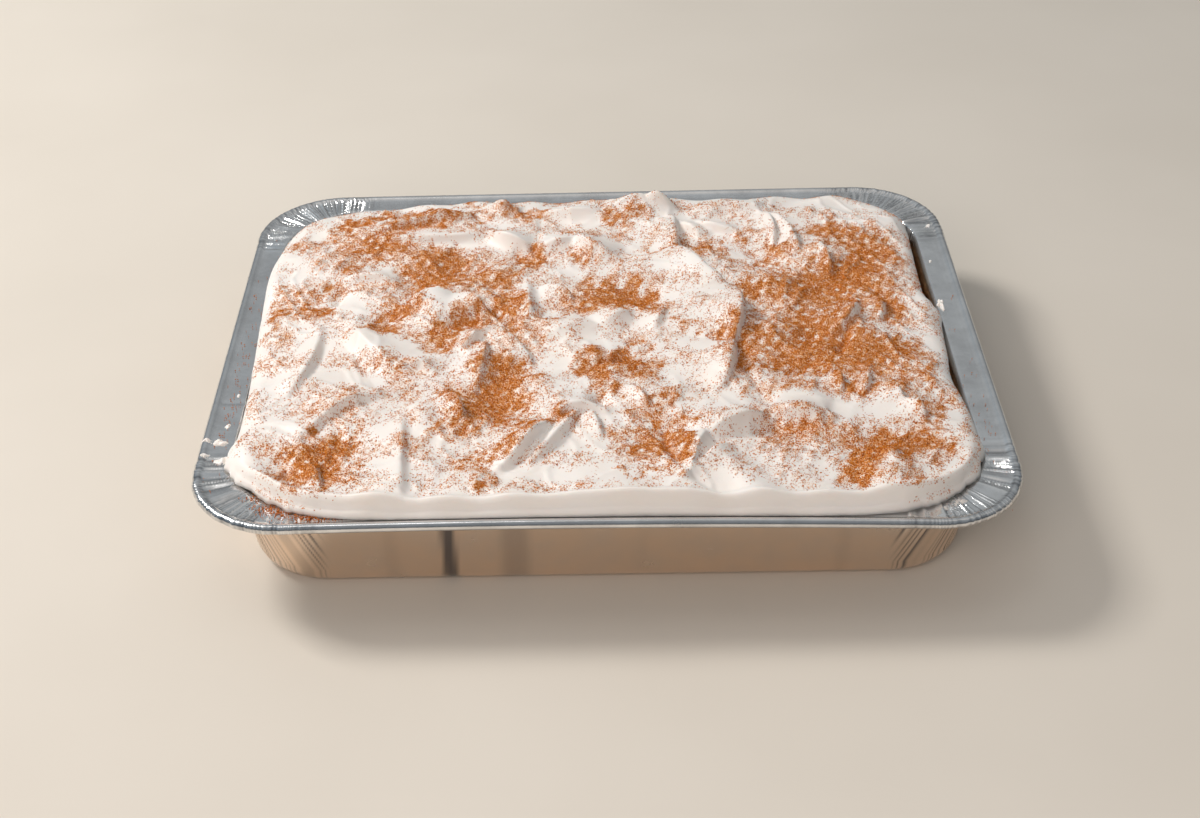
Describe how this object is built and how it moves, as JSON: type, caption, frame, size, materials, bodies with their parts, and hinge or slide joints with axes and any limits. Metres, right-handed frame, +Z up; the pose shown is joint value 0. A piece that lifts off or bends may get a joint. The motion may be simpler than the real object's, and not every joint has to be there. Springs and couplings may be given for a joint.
{
  "type": "tres leches cake",
  "caption": "Rectangular soaked sponge cake under thick spooned whipped cream with ridges and peaks, in its shallow foil pan with a flat flange and curled rim.",
  "frame": {"origin": "middle of the pan's underside, on the surface that it stands on", "axes": "+X along the pan, +Y from its front to its back, +Z up"},
  "size_m": [0.324, 0.264, 0.0599],
  "materials": {
    "foil": "bright rolled foil",
    "sponge": "moist open crumb",
    "cream": "soft satin whipped cream"
  },
  "bodies": {
    "root": {"foil_pan": "foil", "sponge_cake": "sponge", "whipped_cream": "cream"}
  },
  "joints": []
}
